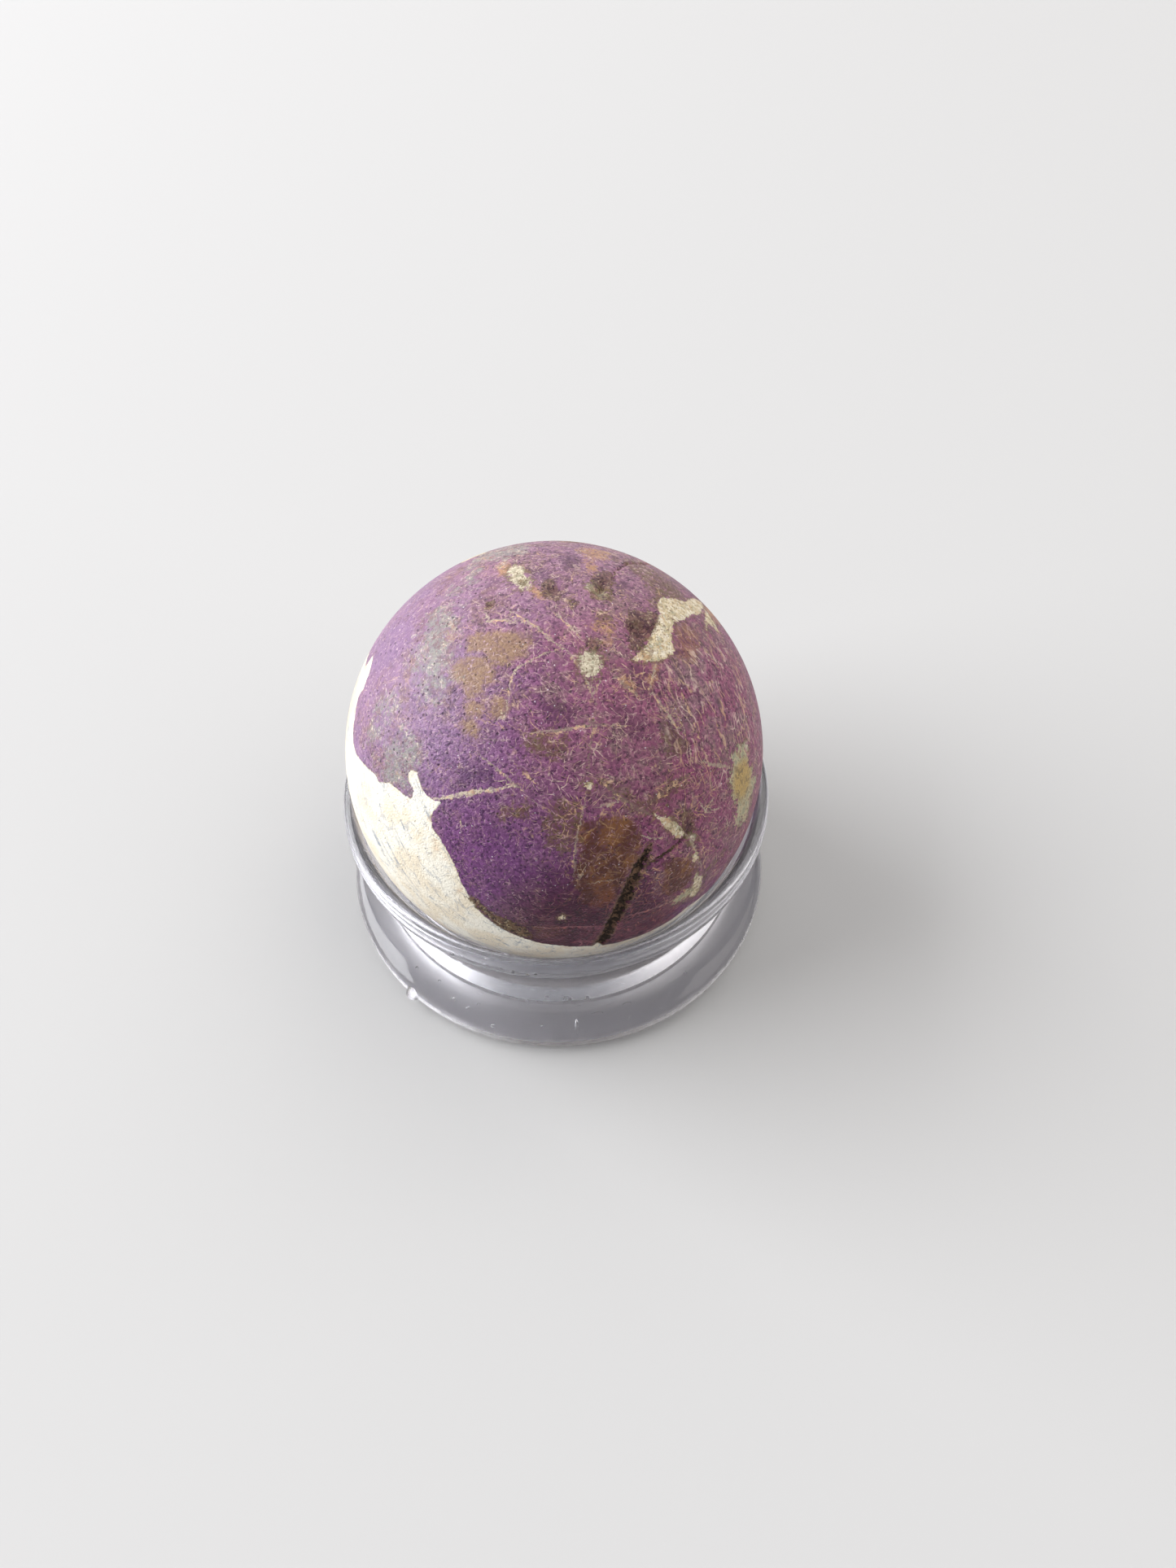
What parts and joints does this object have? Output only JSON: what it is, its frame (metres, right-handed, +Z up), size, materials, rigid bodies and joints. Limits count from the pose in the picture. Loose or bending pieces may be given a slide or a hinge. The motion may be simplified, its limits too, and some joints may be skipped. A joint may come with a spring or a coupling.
{
  "type": "purpurite sphere on a ring stand",
  "caption": "Polished ball of purple purpurite with cream matrix and an open crack, resting in a clear waisted ring stand.",
  "frame": {"origin": "centre of the stand's base, on the surface it stands on", "axes": "+Z up along the stand's axis; -Y towards the viewer, the side with the open crack; +X to the viewer's right"},
  "size_m": [0.0446, 0.0446, 0.0408],
  "materials": {
    "purpurite": "worn satin polish with a fine pitted grain, purple with cream matrix, brown stains and tan hair veins",
    "clear_plastic": "clear moulded plastic, glossy, with small bubbles, nicks and scuffs"
  },
  "bodies": {
    "root": {"purpurite_sphere": "purpurite", "ring_stand": "clear_plastic"}
  },
  "joints": []
}
